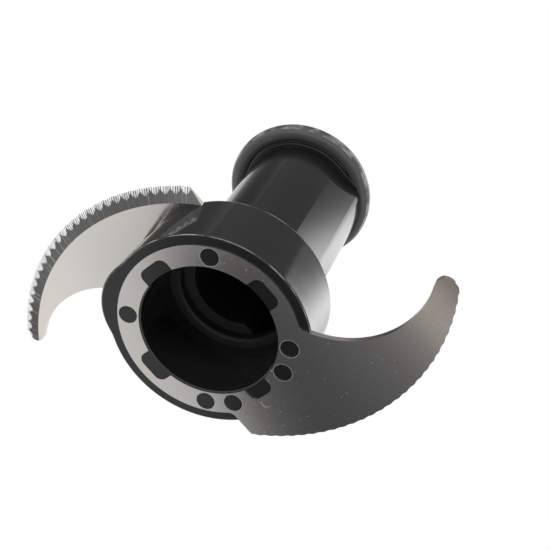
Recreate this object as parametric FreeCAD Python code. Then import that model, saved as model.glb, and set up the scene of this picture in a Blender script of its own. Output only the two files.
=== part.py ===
import FreeCAD, Part
import math
import os

# A two-blade cutter for a food processor bowl. Sizes are in mm.
# The origin is on the bore's axis, on the underside of the lower blade. +Z runs up the neck to
# the cap, and +X points through the middle of the lower blade's root.

# Blades: two arms of one plan, each punched in one piece with its ring
blade_thickness = 2.0
ring_inner_radius = 23.1
ring_width = 7.2
ring_outer_radius = ring_inner_radius + ring_width
edge_radius = 68.1
edge_centre_x = -17.1
edge_centre_y = -27.9
back_radius = 30.1
back_centre_x = 1.2
back_centre_y = -53.2
tip_angle = -44.8
root_line = 14.0
root_corner_radius = 2.0
root_fillet = 3.0
back_fillet = 2.5
upper_blade_height = 23.1

# Ground edge: a plain bevel, with short hollow flutes side by side that scallop its edge. A land is
# the thickness left at the edge: under the bevel as ground, and at the points between the scallops.
bevel_width = 5.3
bevel_land = 0.15
flute_pitch = 3.7
flute_reach = 2.4
scallop_depth = 0.22
point_land = 0.08

# Holes and notches that the hub's plastic fills
hole_circle_radius = ring_inner_radius + ring_width / 2
hole_radius = 3.1
quarter_hole_angle = 45.0
root_hole_angle = 24.7
notch_depth = 4.4
notch_width = 10.9
root_notch_width = 9.0
notch_corner_radius = 2.7
dimple_radius = 1.7
dimple_depth = 0.15
dimple_offset = 0.3
dimple_distance = ring_outer_radius - dimple_offset
dimple_angle = 2.5

# Hub: drum
rim_width = 3.5
drum_radius = ring_outer_radius + rim_width
drum_draft = 1.3
drum_top_radius = drum_radius - drum_draft
drum_height = 27.2
base_recess = 0.4
rim_chamfer = 0.5
shoulder_round = 1.4
lobe_radius = 20.0
lobe_reach = 2.5
lobe_distance = drum_radius + lobe_reach - lobe_radius
lobe_angle = 143.0
lobe_blend_radius = 12.0

# Hub: roof and neck
roof_run_in = 1.8
roof_rise = 4.0
roof_height = drum_height + roof_rise
neck_radius = 20.0
neck_fillet = 4.0
bulge_reach = 4.0
bulge_radius = neck_radius + bulge_reach
bulge_corner_radius = 3.0
neck_height = 101.0
collar_reach = 0.9
collar_height = 1.5
collar_round = 0.4

# Hub: stepped bore
mouth_lip = 0.5
mouth_round = 0.3
chimney_bore_radius = ring_inner_radius - mouth_lip
bore_drop = 0.2
chimney_bore_depth = drum_height - bore_drop
step_inset = 0.5
step_bore_radius = neck_radius - step_inset
step_bore_depth = roof_height - bore_drop
step_chamfer = 0.8
neck_wall = 3.0
seat_radius = neck_radius - neck_wall
seat_ledge = 1.5
neck_bore_radius = seat_radius - seat_ledge
seat_depth = 24.0
keyway_width = 18.0
bulge_wall = 3.4
keyway_radius = bulge_radius - bulge_wall

# Drive insert
insert_height = 16.0
fit_clearance = 0.1
drive_bore_radius = 8.0
drive_slot_width = 5.0
drive_slot_depth = 2.5
drive_slot_radius = drive_bore_radius + drive_slot_depth
drive_chamfer = 1.0

# Cap
bead_radius = 3.0
bead_overhang = 2.05
bead_circle_radius = bulge_radius + collar_reach + bead_overhang - bead_radius
bead_rise = 1.4
bead_height = neck_height + bead_rise
dome_rise = 7.1
cap_height = bead_height + dome_rise
spigot_wall = 2.5
cap_hollow = 3.0

# How far a cutter runs past the face that it cuts
run_past = 1.0

ORIGIN = FreeCAD.Vector(0, 0, 0)
UP = FreeCAD.Vector(0, 0, 1)
edge_centre = FreeCAD.Vector(edge_centre_x, edge_centre_y, 0)
back_centre = FreeCAD.Vector(back_centre_x, back_centre_y, 0)


def polar(radius, angle, height=0.0):
    turn = math.radians(angle)
    return FreeCAD.Vector(radius * math.cos(turn), radius * math.sin(turn), height)


def toward(centre, point, radius):
    """The point of the circle round centre that lies towards another point."""
    return centre + (point - centre).normalize() * radius


def circles_meet(first, first_radius, second, second_radius, side):
    """Where two circles cross: side is 1 to the left of the line between the centres, -1 right."""
    line = second - first
    gap = line.Length
    along = (gap ** 2 + first_radius ** 2 - second_radius ** 2) / (2 * gap)
    across = math.sqrt(first_radius ** 2 - along ** 2)
    unit = line.normalize()
    return first + unit * along + FreeCAD.Vector(-unit.y, unit.x, 0) * (side * across)


def angle_of(centre, point):
    return math.degrees(math.atan2(point.y - centre.y, point.x - centre.x))


def arc(centre, start, end, clockwise=False):
    first = angle_of(centre, start)
    last = angle_of(centre, end)
    if clockwise and last >= first:
        last -= 360
    if not clockwise and last <= first:
        last += 360
    middle = centre + polar((start - centre).Length, (first + last) / 2)
    return Part.Arc(start, middle, end).toShape()


def line(start, end):
    return Part.LineSegment(start, end).toShape()


def turned(points, angle=360):
    """A solid turned about Z, from the +X side, out of (radius, height) points."""
    corners = [FreeCAD.Vector(radius, 0, height) for radius, height in points]
    face = Part.Face(Part.makePolygon(corners + [corners[0]]))
    return face.revolve(ORIGIN, UP, angle)


def root_corner():
    """Centre of the rounded corner between the arm's root line and its cutting edge."""
    height = root_line - root_corner_radius
    reach = math.sqrt((edge_radius - root_corner_radius) ** 2 - (height - edge_centre.y) ** 2)
    return FreeCAD.Vector(edge_centre.x + reach, height, 0)


def tip_radius():
    """Radius of the round tip, which touches the cutting edge's arc and the back's."""
    away = polar(1, tip_angle)
    reach = edge_centre + away * edge_radius - back_centre
    return (reach.Length ** 2 - back_radius ** 2) / (2 * (back_radius + reach.dot(away)))


def tip_centre():
    return edge_centre + polar(edge_radius - tip_radius(), tip_angle)


def blade_outline():
    """Plan of the ring and arm, anticlockwise from the root fillet."""
    fillet = FreeCAD.Vector(0, root_line + root_fillet, 0)
    fillet.x = math.sqrt((ring_outer_radius + root_fillet) ** 2 - fillet.y ** 2)
    back = circles_meet(ORIGIN, ring_outer_radius + back_fillet, back_centre, back_radius - back_fillet, 1)
    tip = tip_centre()
    corner = root_corner()
    root = toward(ORIGIN, fillet, ring_outer_radius)
    leave = toward(ORIGIN, back, ring_outer_radius)
    back_start = toward(back_centre, back, back_radius)
    back_end = toward(back_centre, tip, back_radius)
    edge_start = toward(edge_centre, tip, edge_radius)
    edge_end = toward(edge_centre, corner, edge_radius)
    corner_end = FreeCAD.Vector(corner.x, root_line, 0)
    line_end = FreeCAD.Vector(fillet.x, root_line, 0)
    return Part.Wire([
        arc(ORIGIN, root, leave),
        arc(back, leave, back_start, clockwise=True),
        arc(back_centre, back_start, back_end, clockwise=True),
        arc(tip, back_end, edge_start),
        arc(edge_centre, edge_start, edge_end),
        arc(corner, edge_end, corner_end),
        line(corner_end, line_end),
        arc(fillet, line_end, root, clockwise=True),
    ])


def notch(width):
    """A notch in the ring's inner edge on the +X side, with its two outer corners rounded."""
    reach = ring_inner_radius + notch_depth
    through = blade_thickness + 2 * run_past
    block = Part.makeBox(reach, width, through, FreeCAD.Vector(0, -width / 2, -run_past))
    corners = [edge for edge in block.Edges
               if edge.BoundBox.XMin > ring_inner_radius and edge.BoundBox.ZLength > blade_thickness]
    return block.makeFillet(notch_corner_radius, corners)


def anchor_cutters():
    """The ring's round holes and notches, which the hub's plastic fills."""
    through = blade_thickness + 2 * run_past
    cutters = []
    for quarter in range(4):
        middle = quarter * 90
        hole_angles = [middle + quarter_hole_angle]
        if quarter == 0:
            hole_angles += [root_hole_angle, -root_hole_angle]
        for angle in hole_angles:
            centre = polar(hole_circle_radius, angle, -run_past)
            cutters.append(Part.makeCylinder(hole_radius, through, centre))
        cutter = notch(root_notch_width if quarter == 0 else notch_width)
        cutter.rotate(ORIGIN, UP, middle)
        cutters.append(cutter)
    return cutters


def bevel_start():
    """Angle round the edge's centre at which the bevel's inner line meets the root line."""
    return math.degrees(math.asin((root_line - edge_centre.y) / (edge_radius - bevel_width)))


def bevel_end():
    """Angle round the edge's centre that lies past the whole tip."""
    return tip_angle - math.degrees(2 * tip_radius() / edge_radius)


def bevel_slope():
    return (blade_thickness - bevel_land) / bevel_width


def bevel_cutter():
    """The space over the bevel, which is part of a cone round the edge's centre."""
    inner = edge_radius - bevel_width - run_past
    outer = edge_radius + run_past
    top = blade_thickness + bevel_slope() * run_past
    bottom = top - bevel_slope() * (outer - inner)
    cutter = turned([(inner, top), (outer, bottom), (outer, top)], bevel_start() - bevel_end())
    cutter.rotate(ORIGIN, UP, bevel_end())
    cutter.translate(edge_centre)
    return cutter


def flute_section(radius):
    """Upright section, across +X, of the space over a flute at a radius from the edge's centre."""
    slope = (bevel_land + bevel_slope() * flute_reach) / (flute_reach - scallop_depth)
    side = radius * math.tan(flute_pitch / edge_radius / 2)
    low = slope * (edge_radius - scallop_depth - radius)
    high = low + slope * scallop_depth + point_land
    above = blade_thickness + run_past
    left = FreeCAD.Vector(radius, side, high)
    right = FreeCAD.Vector(radius, -side, high)
    left_top = FreeCAD.Vector(radius, side, above)
    right_top = FreeCAD.Vector(radius, -side, above)
    return Part.Wire([
        Part.Arc(right, FreeCAD.Vector(radius, 0, low), left).toShape(),
        line(left, left_top),
        line(left_top, right_top),
        line(right_top, right),
    ])


def flute_cutters():
    """Steeper than the bevel, the flutes run out on it, and each ends in a scallop at the edge."""
    sections = [flute_section(edge_radius - flute_reach - run_past),
                flute_section(edge_radius + run_past)]
    flute = Part.makeLoft(sections, True, True)
    step = math.degrees(flute_pitch / edge_radius)
    cutters = []
    for number in range(math.ceil((bevel_start() - bevel_end()) / step)):
        cutter = flute.copy()
        cutter.rotate(ORIGIN, UP, bevel_start() - (number + 0.5) * step)
        cutter.translate(edge_centre)
        cutters.append(cutter)
    return cutters


def blade():
    """One blade with its underside at Z 0 and its bevel on top."""
    plate = Part.Face(blade_outline()).extrude(UP * blade_thickness)
    bore = Part.makeCylinder(ring_inner_radius, blade_thickness + 2 * run_past, UP * -run_past)
    return plate.cut([bore, bevel_cutter()] + anchor_cutters() + flute_cutters())


def lower_blade():
    centre = polar(dimple_distance, dimple_angle, -run_past)
    dimple = Part.makeCylinder(dimple_radius, dimple_depth + run_past, centre)
    return blade().cut(dimple)


def upper_blade():
    """The same plan turned half round, with the bevel ground on its underside."""
    plate = blade().mirror(UP * (blade_thickness / 2), UP)
    plate.rotate(ORIGIN, UP, 180)
    plate.translate(UP * upper_blade_height)
    return plate


def drum_outline(inset, height):
    """The drum with the lobe that carries the upper blade's root, drawn in by inset."""
    drum = drum_radius - inset
    lobe = lobe_radius - inset
    blend = lobe_blend_radius + inset
    lobe_centre = polar(lobe_distance, lobe_angle)
    left = circles_meet(ORIGIN, drum + blend, lobe_centre, lobe + blend, 1)
    right = circles_meet(ORIGIN, drum + blend, lobe_centre, lobe + blend, -1)
    wire = Part.Wire([
        arc(ORIGIN, toward(ORIGIN, left, drum), toward(ORIGIN, right, drum)),
        arc(right, toward(ORIGIN, right, drum), toward(lobe_centre, right, lobe), clockwise=True),
        arc(lobe_centre, toward(lobe_centre, right, lobe), toward(lobe_centre, left, lobe)),
        arc(left, toward(lobe_centre, left, lobe), toward(ORIGIN, left, drum), clockwise=True),
    ])
    wire.translate(UP * height)
    return wire


def drum():
    taper = drum_radius - drum_top_radius
    rim = Part.makeLoft([
        drum_outline(rim_chamfer, base_recess),
        drum_outline(0, base_recess + rim_chamfer),
    ], True, True)
    wall = Part.makeLoft([
        drum_outline(0, base_recess + rim_chamfer),
        drum_outline(taper, drum_height),
    ], True, True)
    shoulder = [edge for edge in wall.Edges if edge.BoundBox.ZMin > drum_height - 0.01]
    wall = wall.makeFillet(shoulder_round, shoulder)
    return wall.fuse(rim)


def neck_outline(grow):
    """The neck's section: round, with flat sides running out to a bulge on the +X side."""
    side = neck_radius + grow
    corner = bulge_corner_radius + grow
    flat = neck_radius - bulge_corner_radius
    across = math.sqrt((bulge_radius - bulge_corner_radius) ** 2 - flat ** 2)
    right = FreeCAD.Vector(across, -flat, 0)
    left = FreeCAD.Vector(across, flat, 0)
    right_end = toward(ORIGIN, right, bulge_radius + grow)
    left_end = toward(ORIGIN, left, bulge_radius + grow)
    return Part.Wire([
        arc(ORIGIN, FreeCAD.Vector(0, side, 0), FreeCAD.Vector(0, -side, 0)),
        line(FreeCAD.Vector(0, -side, 0), FreeCAD.Vector(across, -side, 0)),
        arc(right, FreeCAD.Vector(across, -flat - corner, 0), right_end),
        arc(ORIGIN, right_end, left_end),
        arc(left, left_end, FreeCAD.Vector(across, flat + corner, 0)),
        line(FreeCAD.Vector(across, side, 0), FreeCAD.Vector(0, side, 0)),
    ])


def collar():
    block = Part.Face(neck_outline(collar_reach)).extrude(UP * collar_height)
    block.translate(UP * (neck_height - collar_height))
    rim = [edge for edge in block.Edges if edge.BoundBox.ZMax < neck_height - collar_height / 2]
    return block.makeFillet(collar_round, rim)


def neck():
    """The neck on its low cone, with a hollow round where they meet and a collar at the top."""
    outer = drum_top_radius - roof_run_in
    base = drum_height - shoulder_round
    cone = turned([(0, base), (outer, base), (outer, drum_height),
                   (neck_radius, roof_height), (0, roof_height)])
    post = Part.Face(neck_outline(0)).extrude(UP * (neck_height - drum_height))
    post.translate(UP * drum_height)
    body = cone.fuse(post)
    foot = [edge for edge in body.Edges if edge.BoundBox.ZMin > drum_height + roof_rise / 5
            and edge.BoundBox.ZMax < roof_height + roof_rise / 5]
    body = body.makeFillet(neck_fillet, foot)
    return body.fuse(collar())


def stepped_bore():
    """From the mouth up: chimney bore, step bore, neck bore and the drive insert's seat."""
    seat_floor = neck_height - seat_depth
    top = neck_height + run_past
    mouth = base_recess + mouth_round
    return turned([
        (0, -run_past), (chimney_bore_radius + mouth_round + run_past + base_recess, -run_past),
        (chimney_bore_radius, mouth), (chimney_bore_radius, chimney_bore_depth),
        (step_bore_radius + step_chamfer, chimney_bore_depth),
        (step_bore_radius, chimney_bore_depth + step_chamfer), (step_bore_radius, step_bore_depth),
        (neck_bore_radius, step_bore_depth), (neck_bore_radius, seat_floor),
        (seat_radius, seat_floor), (seat_radius, top), (0, top),
    ])


def key(width, reach, bottom, top):
    """The part of a round bar that lies in a band along +X: a keyway's cutter, or a key."""
    bar = Part.makeCylinder(reach, top - bottom, UP * bottom)
    band = Part.makeBox(reach, width, top - bottom, FreeCAD.Vector(0, -width / 2, bottom))
    return bar.common(band)


def hub(blades):
    body = drum().fuse(neck())
    keyway = key(keyway_width, keyway_radius, step_bore_depth, neck_height + run_past)
    body = body.cut([stepped_bore(), keyway])
    return body.cut([blade.copy() for blade in blades]).removeSplitter()


def drive_insert():
    """The keyed bush that takes the motor shaft. It stands on the floor of its seat."""
    floor = neck_height - seat_depth
    top = floor + insert_height
    bush = Part.makeCylinder(seat_radius - fit_clearance, insert_height, UP * floor)
    tongue = key(keyway_width - 2 * fit_clearance, keyway_radius - fit_clearance, floor, top)
    bore = turned([
        (0, floor - run_past), (drive_bore_radius + drive_chamfer + run_past, floor - run_past),
        (drive_bore_radius, floor + drive_chamfer), (drive_bore_radius, top + run_past),
        (0, top + run_past),
    ])
    slot = key(drive_slot_width, drive_slot_radius, floor - run_past, top + run_past)
    slot.rotate(ORIGIN, UP, 180)
    return bush.fuse(tongue).cut([bore, slot]).removeSplitter()


def cap_section():
    """Half the head's section: a domed top that runs into a round bead, which laps the collar."""
    dome_radius = bead_circle_radius ** 2 + dome_rise ** 2 - bead_radius ** 2
    dome_radius /= 2 * (dome_rise - bead_radius)
    dome_centre = UP * (cap_height - dome_radius)
    bead = FreeCAD.Vector(bead_circle_radius, 0, bead_height)
    inside = FreeCAD.Vector(bead.x - math.sqrt(bead_radius ** 2 - bead_rise ** 2), 0, neck_height)
    under = bead - UP * bead_radius
    outermost = bead + FreeCAD.Vector(bead_radius, 0, 0)
    joint = toward(dome_centre, bead, dome_radius)
    shoulder = toward(bead, (joint + outermost) / 2, bead_radius)
    apex = UP * cap_height
    crown = toward(dome_centre, (joint + apex) / 2, dome_radius)
    return Part.Wire([
        line(UP * neck_height, inside),
        Part.Arc(inside, under, outermost).toShape(),
        Part.Arc(outermost, shoulder, joint).toShape(),
        Part.Arc(joint, crown, apex).toShape(),
        line(apex, UP * neck_height),
    ])


def cap():
    """Cap with a hollow spigot, which plugs the neck and holds the drive insert down."""
    head = Part.Face(cap_section()).revolve(ORIGIN, UP, 360)
    foot = neck_height - seat_depth + insert_height
    radius = seat_radius - fit_clearance
    spigot = Part.makeCylinder(radius, neck_height - foot, UP * foot)
    depth = neck_height - foot + cap_hollow + run_past
    hollow = Part.makeCylinder(radius - spigot_wall, depth, UP * (foot - run_past))
    return head.cut(neck()).fuse(spigot).cut(hollow).removeSplitter()


def main():
    lower = lower_blade()
    upper = upper_blade()
    body = hub([lower, upper])
    insert = drive_insert()
    top = cap()
    os.makedirs("parts", exist_ok=True)
    body.exportStep("parts/hub.step")
    lower.exportStep("parts/lower_blade.step")
    upper.exportStep("parts/upper_blade.step")
    insert.exportStep("parts/drive_insert.step")
    top.exportStep("parts/cap.step")


main()
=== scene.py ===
import math
import bmesh
import bpy
from mathutils import Matrix, Vector

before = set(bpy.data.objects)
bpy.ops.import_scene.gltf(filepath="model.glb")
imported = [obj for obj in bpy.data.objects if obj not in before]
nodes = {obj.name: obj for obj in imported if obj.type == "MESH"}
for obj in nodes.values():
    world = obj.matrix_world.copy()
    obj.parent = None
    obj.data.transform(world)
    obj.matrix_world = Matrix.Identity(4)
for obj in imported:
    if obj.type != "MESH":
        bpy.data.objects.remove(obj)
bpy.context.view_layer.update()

millimetre = 0.001
print("frame loaded:", sorted(nodes))


# Helpers

def srgb(hexColour):
    # sRGB hex to linear RGBA
    channels = [int(hexColour[i:i + 2], 16) / 255 for i in (1, 3, 5)]
    linear = [c / 12.92 if c <= 0.04045 else ((c + 0.055) / 1.055) ** 2.4 for c in channels]
    return (*linear, 1.0)


def addNode(tree, kind, inputs=None, links=None, **settings):
    # inputs are constants by socket, links are other nodes' outputs
    node = tree.nodes.new(kind)
    for name, value in settings.items():
        setattr(node, name, value)
    for socket, value in (inputs or {}).items():
        node.inputs[socket].default_value = value
    for socket, source in (links or {}).items():
        tree.links.new(source, node.inputs[socket])
    return node


def newMaterial(name):
    material = bpy.data.materials.new(name)
    material.use_nodes = True
    material.node_tree.nodes.clear()
    return material, material.node_tree


def giveMaterial(piece, material):
    piece.data.materials.clear()
    piece.data.materials.append(material)


# The camera stands where the photograph was taken from

cameraView = {
    "place": (-81.3, -239.7, -326.0),   # mm
    "aim": (8.0, -3.0, 46.4),           # mm, the middle of the picture, on the neck
    "roll": 31.9,                       # degrees
    "lens": 86.6,                       # mm
    "sensor": 36.0,                     # mm
    "clip": (0.01, 50.0),               # m
}


def makeCamera():
    camera = bpy.data.objects.new("camera", bpy.data.cameras.new("camera"))
    bpy.context.scene.collection.objects.link(camera)
    place = Vector(cameraView["place"]) * millimetre
    aim = Vector(cameraView["aim"]) * millimetre
    level = (aim - place).to_track_quat("-Z", "Y").to_matrix().to_4x4()
    roll = Matrix.Rotation(math.radians(cameraView["roll"]), 4, "Z")
    camera.matrix_world = Matrix.Translation(place) @ level @ roll
    camera.data.lens = cameraView["lens"]
    camera.data.sensor_width = cameraView["sensor"]
    camera.data.clip_start, camera.data.clip_end = cameraView["clip"]
    bpy.context.scene.camera = camera


makeCamera()
bpy.context.scene.view_settings.view_transform = "Standard"
print("camera made")


# The studio: a white surround over a pale floor. The flat steel mirrors a graded card below it,
# and the plastic mirrors a softbox, a dark ceiling and dark walls. Only reflections see these.

# Round patches of the surround, in degrees, with levels where white is 1
softbox = {"azimuth": -89.5, "elevation": 75.8, "inner": 12.6, "outer": 46.0, "level": 6.5}
ceiling = {"azimuth": -40.0, "elevation": 89.2, "inner": 27.4, "outer": 32.0, "level": 0.36}
darkWalls = [
    {"azimuth": 206.3, "elevation": 55.8, "inner": 42.4, "outer": 44.2, "level": 0.59},
    {"azimuth": -119.8, "elevation": 55.5, "inner": 26.2, "outer": 28.6, "level": 0.3},
    {"azimuth": 158.5, "elevation": 42.4, "inner": 12.3, "outer": 32.0, "level": 0.11},
    {"azimuth": 126.0, "elevation": -60.0, "inner": 14.0, "outer": 23.0, "level": 0.15},
]
surround = {
    "fill": 0.75,                                 # its strength for diffuse light
    "patches": [softbox, ceiling, *darkWalls],    # each lies over the ones before it
}


def addPatch(tree, way, level, patch):
    # Changes the level inside a round patch of the surround
    high = math.radians(patch["elevation"])
    turn = math.radians(patch["azimuth"])
    aim = (math.cos(high) * math.cos(turn), math.cos(high) * math.sin(turn), math.sin(high))
    near = addNode(tree, "ShaderNodeVectorMath", {1: aim}, {0: way}, operation="DOT_PRODUCT")
    inside = addNode(tree, "ShaderNodeMapRange",
                     {"From Min": math.cos(math.radians(patch["outer"])),
                      "From Max": math.cos(math.radians(patch["inner"]))},
                     {"Value": near.outputs["Value"]}, interpolation_type="SMOOTHSTEP")
    mix = addNode(tree, "ShaderNodeMix", {"B": patch["level"]},
                  {"Factor": inside.outputs[0], "A": level})
    return mix.outputs[0]


def makeWorld():
    # Plain white for the camera and through clear things, patched for reflections
    world = bpy.data.worlds.new("whiteSurround")
    bpy.context.scene.world = world
    world.use_nodes = True
    tree = world.node_tree
    tree.nodes.clear()
    rays = addNode(tree, "ShaderNodeLightPath")
    place = addNode(tree, "ShaderNodeTexCoord")
    white = addNode(tree, "ShaderNodeValue")
    white.outputs[0].default_value = 1.0
    level = white.outputs[0]
    for patch in surround["patches"]:
        level = addPatch(tree, place.outputs["Generated"], level, patch)
    mirrored = addNode(tree, "ShaderNodeMix", {"A": surround["fill"]},
                       {"Factor": rays.outputs["Is Glossy Ray"], "B": level})
    seen = addNode(tree, "ShaderNodeMath", operation="MAXIMUM",
                   links={0: rays.outputs["Is Camera Ray"], 1: rays.outputs["Is Transmission Ray"]})
    strength = addNode(tree, "ShaderNodeMix", {"B": 1.0},
                       {"Factor": seen.outputs[0], "A": mirrored.outputs[0]})
    background = addNode(tree, "ShaderNodeBackground", {"Color": (1.0, 1.0, 1.0, 1.0)},
                         {"Strength": strength.outputs[0]})
    addNode(tree, "ShaderNodeOutputWorld", links={"Surface": background.outputs[0]})


def square(name, half):
    mesh = bpy.data.meshes.new(name)
    shape = bmesh.new()
    bmesh.ops.create_grid(shape, x_segments=1, y_segments=1, size=half)
    shape.to_mesh(mesh)
    shape.free()
    piece = bpy.data.objects.new(name, mesh)
    bpy.context.scene.collection.objects.link(piece)
    return piece


paleFloor = {
    "side": 8.0,            # m
    "drop": 0.2,            # mm under the steel
    "colour": "#f3f2f0",
}


def makeFloor():
    # Only the camera sees it, and only from above, so light from below gets past it
    floor = square("floor", paleFloor["side"] / 2)
    floor.location = (0, 0, -paleFloor["drop"] * millimetre)
    material, tree = newMaterial("paleStudioPaper")
    rays = addNode(tree, "ShaderNodeLightPath")
    side = addNode(tree, "ShaderNodeNewGeometry")
    front = addNode(tree, "ShaderNodeMath", {0: 1.0}, {1: side.outputs["Backfacing"]},
                    operation="SUBTRACT")
    seen = addNode(tree, "ShaderNodeMath", operation="MULTIPLY",
                   links={0: front.outputs[0], 1: rays.outputs["Is Camera Ray"]})
    paper = addNode(tree, "ShaderNodeBsdfDiffuse", {"Color": srgb(paleFloor["colour"])})
    clear = addNode(tree, "ShaderNodeBsdfTransparent")
    mix = addNode(tree, "ShaderNodeMixShader", links={
        0: seen.outputs[0], 1: clear.outputs[0], 2: paper.outputs[0]})
    addNode(tree, "ShaderNodeOutputMaterial", links={"Surface": mix.outputs[0]})
    giveMaterial(floor, material)


gradedCard = {
    "drop": 0.6,                 # m under the steel
    "place": (0.263, 0.419),     # m, where the lower arm mirrors it
    "half": 0.3,                 # m
    "turn": 19.3,                # degrees
    "lean": 0.4,                 # slope of the shades on the near half
    "leanReach": 0.1,            # m from the middle, where they lean fully
    "leanStill": -0.1,           # m along the card, where the lean moves nothing
    "plain": 0.5,                # share of its length that doesn't fade to white
    "shades": [(0.0, "#ffffff"), (0.16, "#2a2b2d"), (0.225, "#8e8985"), (0.265, "#d4cfc9"),
               (0.325, "#7d7d7f"), (0.39, "#626468"), (0.5, "#414245"), (0.57, "#55575a"),
               (0.67, "#d6d8db"), (0.9, "#ffffff")],
}


def cardAcross(tree, axes):
    # 0 at the card's near side, 1 at its far side
    half = gradedCard["half"]
    lean = gradedCard["lean"]
    nearHalf = addNode(tree, "ShaderNodeMapRange",
                       {"From Min": 0.0, "From Max": -gradedCard["leanReach"]},
                       {"Value": axes.outputs["Y"]})
    shift = addNode(tree, "ShaderNodeMath", {1: lean, 2: -gradedCard["leanStill"] * lean},
                    {0: axes.outputs["X"]}, operation="MULTIPLY_ADD")
    bent = addNode(tree, "ShaderNodeMath", operation="MULTIPLY_ADD",
                   links={0: nearHalf.outputs[0], 1: shift.outputs[0], 2: axes.outputs["Y"]})
    across = addNode(tree, "ShaderNodeMapRange", {"From Min": -half, "From Max": half},
                     {"Value": bent.outputs[0]})
    return across.outputs[0]


def makeCard():
    # From near to far: white, a dark line, a warm pale line, a dark band, white
    half = gradedCard["half"]
    card = square("gradedCard", half)
    card.location = (*gradedCard["place"], -gradedCard["drop"])
    card.rotation_euler = (0, 0, math.radians(gradedCard["turn"]))
    card.visible_camera = False
    card.visible_diffuse = False
    card.visible_shadow = False
    material, tree = newMaterial("gradedStudioCard")
    place = addNode(tree, "ShaderNodeTexCoord")
    axes = addNode(tree, "ShaderNodeSeparateXYZ", links={0: place.outputs["Object"]})
    shades = addNode(tree, "ShaderNodeValToRGB", links={0: cardAcross(tree, axes)})
    shades.color_ramp.interpolation = "EASE"
    while len(shades.color_ramp.elements) < len(gradedCard["shades"]):
        shades.color_ramp.elements.new(0.5)
    for stop, (position, colour) in zip(shades.color_ramp.elements, gradedCard["shades"]):
        stop.position = position
        stop.color = srgb(colour)
    along = addNode(tree, "ShaderNodeMath", links={0: axes.outputs["X"]}, operation="ABSOLUTE")
    end = addNode(tree, "ShaderNodeMapRange",
                  {"From Min": gradedCard["plain"] * half, "From Max": half},
                  {"Value": along.outputs[0]}, interpolation_type="SMOOTHSTEP")
    shade = blend(tree, end.outputs[0], shades.outputs[0], "#ffffff")
    glow = addNode(tree, "ShaderNodeEmission", {"Strength": 1.0}, {"Color": shade})
    addNode(tree, "ShaderNodeOutputMaterial", links={"Surface": glow.outputs[0]})
    giveMaterial(card, material)


lamps = {    # m and W
    "keyLamp": {"place": (0.6, -0.5, 0.9), "aim": (0, 0, 0.05), "size": 0.6, "power": 4.0},
    "lowLamp": {"place": (-0.5, -0.3, -0.3), "aim": (0, 0, 0.09), "size": 0.3, "power": 3.0},
}


def makeLamp(name, recipe):
    # Shapes the diffuse light and leaves no spot in the reflections
    lamp = bpy.data.lights.new(name, "AREA")
    lamp.shape = "DISK"
    lamp.size = recipe["size"]
    lamp.energy = recipe["power"]
    holder = bpy.data.objects.new(name, lamp)
    bpy.context.scene.collection.objects.link(holder)
    holder.location = recipe["place"]
    way = Vector(recipe["aim"]) - Vector(recipe["place"])
    holder.rotation_euler = way.to_track_quat("-Z", "Y").to_euler()
    holder.visible_glossy = False


# Shared by the materials

def step(tree, value, low, high):
    # 1 up to low, then down to 0 at high. With low over high it works the other way round.
    node = addNode(tree, "ShaderNodeMapRange",
                   {"From Min": low, "From Max": high, "To Min": 1.0, "To Max": 0.0},
                   {"Value": value})
    return node.outputs[0]


def setColour(tree, socket, colour):
    # A colour is a hex string or an output
    if isinstance(colour, str):
        socket.default_value = srgb(colour)
    else:
        tree.links.new(colour, socket)


def blend(tree, factor, first, second):
    # The first colour at 0, the second at 1
    node = addNode(tree, "ShaderNodeMix", data_type="RGBA")
    tree.links.new(factor, node.inputs["Factor"])
    setColour(tree, node.inputs[6], first)
    setColour(tree, node.inputs[7], second)
    return node.outputs[2]


def noise(tree, place, perMm, detail):
    node = addNode(tree, "ShaderNodeTexNoise", {"Scale": perMm / millimetre, "Detail": detail},
                   {"Vector": place.outputs["Object"]})
    return node.outputs[0]


makeWorld()
makeFloor()
makeCard()
for name, recipe in lamps.items():
    makeLamp(name, recipe)
print("studio made")


# The hub, its cap and the drive insert

# The rubbed bands are painted highlights: pale colour in thin lines at the heights of rounded edges
plastic = {
    "hub": {"name": "mouldedBlackAbs", "colour": "#161617", "smooth": 0.08, "dull": 0.13,
            "paintedHighlights": [(0.62, 0.08), (26.3, 0.35)]},     # mm: height, half width
    "cap": {"name": "mouldedCharcoalAbs", "colour": "#414142", "smooth": 0.16, "dull": 0.28,
            "paintedHighlights": [(100.8, 0.4), (102.0, 0.9)]},
    "drive_insert": {"name": "glassFilledNylon", "colour": "#161616",
                     "smooth": 0.45, "dull": 0.6,        # the glass fibres leave it matt
                     "paintedHighlights": []},
}
skin = {
    "ior": 1.5,
    "grainPerMm": 4.0,
    "grainStrength": 0.03,
    "grainDepth": 0.03,               # mm
    "cloudsPerMm": 0.06,              # of the gloss
    "lowInside": 22.4,                # mm, a little less than the bore's radius in the drum
    "highInside": 19.3,               # mm, the same above it
    "insideChange": (30.8, 31.0),     # mm, the height between them
    "insideRough": 0.6,
    # The next five settings paint pale highlight lines along edges, in patches
    "highlightPatchesPerMm": 0.18,
    "highlightPatchNoise": (0.4, 0.62),              # the noise where the painted highlights start and are full
    "highlightFrom": 23.0,                 # mm from the bore's axis, beyond which the painted highlights show
    "highlightPaintColour": "#9a9a9a",
    "highlightLineCore": 0.6,                # share of a painted highlight line that is fully pale
}


def insideOf(tree, axes, reach):
    # 1 inside the bore's radius. The top of the cap has its middle there too.
    low = step(tree, axes.outputs["Z"], *[z * millimetre for z in skin["insideChange"]])
    limit = addNode(tree, "ShaderNodeMix", {"A": skin["highInside"] * millimetre,
                                            "B": skin["lowInside"] * millimetre},
                    {"Factor": low})
    inside = addNode(tree, "ShaderNodeMath", operation="LESS_THAN",
                     links={0: reach, 1: limit.outputs[0]})
    return inside.outputs[0]


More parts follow.
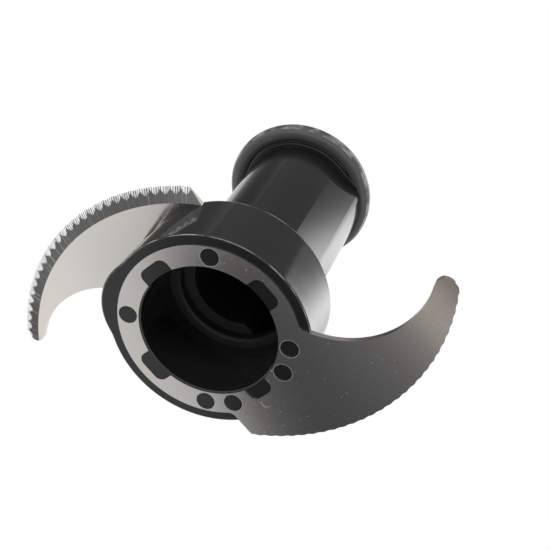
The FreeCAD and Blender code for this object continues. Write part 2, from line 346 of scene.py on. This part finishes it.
def highlightPatches(tree, place, reach):
    # Soft patches where the painted highlights show, only well out from the bore
    least, full = skin["highlightPatchNoise"]
    patches = addNode(tree, "ShaderNodeMapRange", {"From Min": least, "From Max": full},
                      {"Value": noise(tree, place, skin["highlightPatchesPerMm"], detail=4.0)})
    outside = addNode(tree, "ShaderNodeMath", {1: skin["highlightFrom"] * millimetre}, {0: reach},
                      operation="GREATER_THAN")
    highlightPatchMask = addNode(tree, "ShaderNodeMath", operation="MULTIPLY",
                   links={0: patches.outputs[0], 1: outside.outputs[0]})
    return highlightPatchMask.outputs[0]


def paintedHighlightLine(tree, axes, middle, half):
    # 1 in a thin band at one height, where a painted highlight line lies
    away = addNode(tree, "ShaderNodeMath", {1: middle * millimetre}, {0: axes.outputs["Z"]},
                   operation="SUBTRACT")
    away = addNode(tree, "ShaderNodeMath", links={0: away.outputs[0]}, operation="ABSOLUTE")
    return step(tree, away.outputs[0], skin["highlightLineCore"] * half * millimetre, half * millimetre)


def mouldedPlastic(recipe):
    # A soft gloss that varies a little over the part, the mould's very fine grain, a duller
    # inside, and pale lines painted along edges in places as highlights
    material, tree = newMaterial(recipe["name"])
    place = addNode(tree, "ShaderNodeTexCoord")
    axes = addNode(tree, "ShaderNodeSeparateXYZ", links={0: place.outputs["Object"]})
    flat = addNode(tree, "ShaderNodeCombineXYZ", links={"X": axes.outputs["X"],
                                                        "Y": axes.outputs["Y"]})
    reach = addNode(tree, "ShaderNodeVectorMath", links={0: flat.outputs[0]}, operation="LENGTH")
    reach = reach.outputs["Value"]
    bump = addNode(tree, "ShaderNodeBump", {"Strength": skin["grainStrength"],
                                            "Distance": skin["grainDepth"] * millimetre},
                   {"Height": noise(tree, place, skin["grainPerMm"], detail=2.0)})
    rough = addNode(tree, "ShaderNodeMapRange",
                    {"To Min": recipe["smooth"], "To Max": recipe["dull"]},
                    {"Value": noise(tree, place, skin["cloudsPerMm"], detail=3.0)})
    rough = addNode(tree, "ShaderNodeMix", {"B": skin["insideRough"]},
                    {"Factor": insideOf(tree, axes, reach), "A": rough.outputs[0]})
    colour = recipe["colour"]
    highlightPatchMask = highlightPatches(tree, place, reach)
    # Pale bands at edge heights, in patches: painted highlights
    for middle, half in recipe["paintedHighlights"]:
        line = paintedHighlightLine(tree, axes, middle, half)
        paintedHighlights = addNode(tree, "ShaderNodeMath", links={0: line, 1: highlightPatchMask}, operation="MULTIPLY")
        colour = blend(tree, paintedHighlights.outputs[0], colour, skin["highlightPaintColour"])
    shader = addNode(tree, "ShaderNodeBsdfPrincipled", {"IOR": skin["ior"]},
                     {"Normal": bump.outputs[0], "Roughness": rough.outputs[0]})
    setColour(tree, shader.inputs["Base Color"], colour)
    addNode(tree, "ShaderNodeOutputMaterial", links={"Surface": shader.outputs[0]})
    return material


for name, recipe in plastic.items():
    giveMaterial(nodes[name], mouldedPlastic(recipe))


# The two blades

steel = {
    "strip": "#d6d1cb",
    "stripRough": (0.09, 0.15),
    "specksPerMm": 0.9,
    "specks": (0.7, 0.76),            # the noise where specks start and are full
    "speckRough": 0.5,
    "speckStrength": 0.05,
    "speckDepth": 0.02,               # mm
    "edgeCentre": (-17.1, -27.9),     # mm, of the lower blade's edge arc
    "edgeRadius": 68.1,               # mm
    "rootward": (0.6, -0.7),          # rad round the edge arc, from the root to the tip
    "bevelRoot": ("#656463", "#acabaa"),    # dark and light grinding lines
    "bevelTip": ("#373635", "#646362"),
    "bevelRough": 0.33,
    "linesPerMm": 3.0,                # coarser than real grinding, so that they show
    "scratch": "#ffffff",
    "scratches": (0.29, 0.35),        # the lines' noise where they are full and where they end
    "flute": "#ffffff",
    "fluteRough": 0.24,
    "hair": "#555453",
    "hairPitch": 0.85,                # mm, between the fine dark lines of the flutes
    "hairWidth": (-0.7, -0.1),        # of a sine, where they are full and where they end
    "hairDepth": 0.85,                # how much of their colour shows
    "hairShift": 4.0,                 # rad, how far the grinding lines push them about
}
slopes = {                            # the upright share of the faces' normals, each a soft limit
    "ground": (0.96, 0.98),           # under it everything but the flats
    "flute": (0.926, 0.934),
    "wall": (0.4, 0.6),
}
holes = {
    "angles": [45, 135, 225, 315, 24.7, -24.7],
    "circle": 26.7,                   # mm
    "radius": 3.1,                    # mm
    "burr": 0.02,                     # mm, the dull line round each hole
    "fade": 0.1,                      # mm
    "rough": 0.5,
}


def holeEdges(tree, place, turn):
    # 1 in a fine line round each hole in the ring
    axes = addNode(tree, "ShaderNodeSeparateXYZ", links={0: place.outputs["Object"]})
    flat = addNode(tree, "ShaderNodeCombineXYZ", links={"X": axes.outputs["X"],
                                                        "Y": axes.outputs["Y"]})
    nearest = None
    for angle in holes["angles"]:
        reach = turn * holes["circle"] * millimetre
        centre = (reach * math.cos(math.radians(angle)), reach * math.sin(math.radians(angle)), 0)
        gap = addNode(tree, "ShaderNodeVectorMath", {1: centre}, {0: flat.outputs[0]},
                      operation="DISTANCE")
        if nearest is None:
            nearest = gap.outputs["Value"]
        else:
            nearest = addNode(tree, "ShaderNodeMath", operation="MINIMUM",
                              links={0: nearest, 1: gap.outputs["Value"]}).outputs[0]
    edge = (holes["radius"] + holes["burr"]) * millimetre
    return step(tree, nearest, edge, edge + holes["fade"] * millimetre)


def edgeAngle(tree, place, turn):
    # The angle round the edge arc, counted alike on both blades
    centre = [turn * value * millimetre for value in steel["edgeCentre"]]
    out = addNode(tree, "ShaderNodeVectorMath", {1: (*centre, 0.0)},
                  {0: place.outputs["Object"]}, operation="SUBTRACT")
    axes = addNode(tree, "ShaderNodeSeparateXYZ", links={0: out.outputs[0]})
    x = addNode(tree, "ShaderNodeMath", {1: turn}, {0: axes.outputs["X"]}, operation="MULTIPLY")
    y = addNode(tree, "ShaderNodeMath", {1: turn}, {0: axes.outputs["Y"]}, operation="MULTIPLY")
    angle = addNode(tree, "ShaderNodeMath", links={0: y.outputs[0], 1: x.outputs[0]},
                    operation="ARCTAN2")
    return angle.outputs[0]


def grindingLines(tree, angle):
    # Noise that changes only round the edge arc, so it runs in lines across it
    around = addNode(tree, "ShaderNodeMath", {1: steel["edgeRadius"] * steel["linesPerMm"]},
                     {0: angle}, operation="MULTIPLY")
    lines = addNode(tree, "ShaderNodeTexNoise", {"Scale": 1.0, "Detail": 3.0, "Roughness": 0.7},
                    {"W": around.outputs[0]}, noise_dimensions="1D")
    return lines.outputs[0]


def fluteHairs(tree, angle, lines):
    # Evenly spaced fine lines, each pushed aside a little
    wavePerRadian = steel["edgeRadius"] * 2 * math.pi / steel["hairPitch"]
    shift = addNode(tree, "ShaderNodeMath", {1: steel["hairShift"]}, {0: lines},
                    operation="MULTIPLY")
    wave = addNode(tree, "ShaderNodeMath", {1: wavePerRadian}, {0: angle, 2: shift.outputs[0]},
                   operation="MULTIPLY_ADD")
    wave = addNode(tree, "ShaderNodeMath", links={0: wave.outputs[0]}, operation="SINE")
    hair = step(tree, wave.outputs[0], *steel["hairWidth"])
    hair = addNode(tree, "ShaderNodeMath", {1: steel["hairDepth"]}, {0: hair},
                   operation="MULTIPLY")
    return hair.outputs[0]


def groundSteel(name, turn):
    # Rolled stainless strip, mirror smooth with faint specks. The bevel is ground dull and dark
    # with lines across it, paler towards the root. The flutes are polished and crossed by fine
    # dark lines. The faces' slopes tell them apart.
    material, tree = newMaterial(name)
    place = addNode(tree, "ShaderNodeTexCoord")
    normal = addNode(tree, "ShaderNodeNewGeometry").outputs["True Normal"]
    slope = addNode(tree, "ShaderNodeSeparateXYZ", links={0: normal})
    slope = addNode(tree, "ShaderNodeMath", links={0: slope.outputs["Z"]}, operation="ABSOLUTE")
    ground, flute, wall = [step(tree, slope.outputs[0], *slopes[part])
                           for part in ("ground", "flute", "wall")]

    angle = edgeAngle(tree, place, turn)
    lines = grindingLines(tree, angle)
    rootward = step(tree, angle, *steel["rootward"])
    dark, light = [blend(tree, rootward, tip, root)
                   for tip, root in zip(steel["bevelTip"], steel["bevelRoot"])]
    bevelColour = blend(tree, lines, dark, light)
    bevelColour = blend(tree, step(tree, lines, *steel["scratches"]), bevelColour,
                        steel["scratch"])
    fluteColour = blend(tree, fluteHairs(tree, angle, lines), steel["flute"], steel["hair"])
    colour = blend(tree, flute, bevelColour, fluteColour)
    colour = blend(tree, wall, colour, steel["strip"])
    colour = blend(tree, ground, steel["strip"], colour)

    specks = noise(tree, place, steel["specksPerMm"], detail=4.0)
    smooth, dull = steel["stripRough"]
    shine = addNode(tree, "ShaderNodeMapRange", {"To Min": smooth, "To Max": dull},
                    {"Value": specks})
    polished = step(tree, specks, *steel["specks"])
    rough = addNode(tree, "ShaderNodeMix", {"A": steel["speckRough"]},
                    {"Factor": polished, "B": shine.outputs[0]})
    rough = addNode(tree, "ShaderNodeMix", {"B": holes["rough"]},
                    {"Factor": holeEdges(tree, place, turn), "A": rough.outputs[0]})
    groundRough = addNode(tree, "ShaderNodeMix",
                          {"A": steel["bevelRough"], "B": steel["fluteRough"]},
                          {"Factor": flute})
    rough = addNode(tree, "ShaderNodeMix", links={"Factor": ground, "A": rough.outputs[0],
                                                  "B": groundRough.outputs[0]})
    bump = addNode(tree, "ShaderNodeBump", {"Strength": steel["speckStrength"],
                                            "Distance": steel["speckDepth"] * millimetre},
                   {"Height": specks})
    shader = addNode(tree, "ShaderNodeBsdfPrincipled", {"Metallic": 1.0},
                     {"Base Color": colour, "Roughness": rough.outputs[0],
                      "Normal": bump.outputs[0]})
    addNode(tree, "ShaderNodeOutputMaterial", links={"Surface": shader.outputs[0]})
    return material


# The upper blade has the same plan turned half round, and so has its pattern
giveMaterial(nodes["lower_blade"], groundSteel("groundStainlessLower", turn=1))
giveMaterial(nodes["upper_blade"], groundSteel("groundStainlessUpper", turn=-1))
print("materials given")
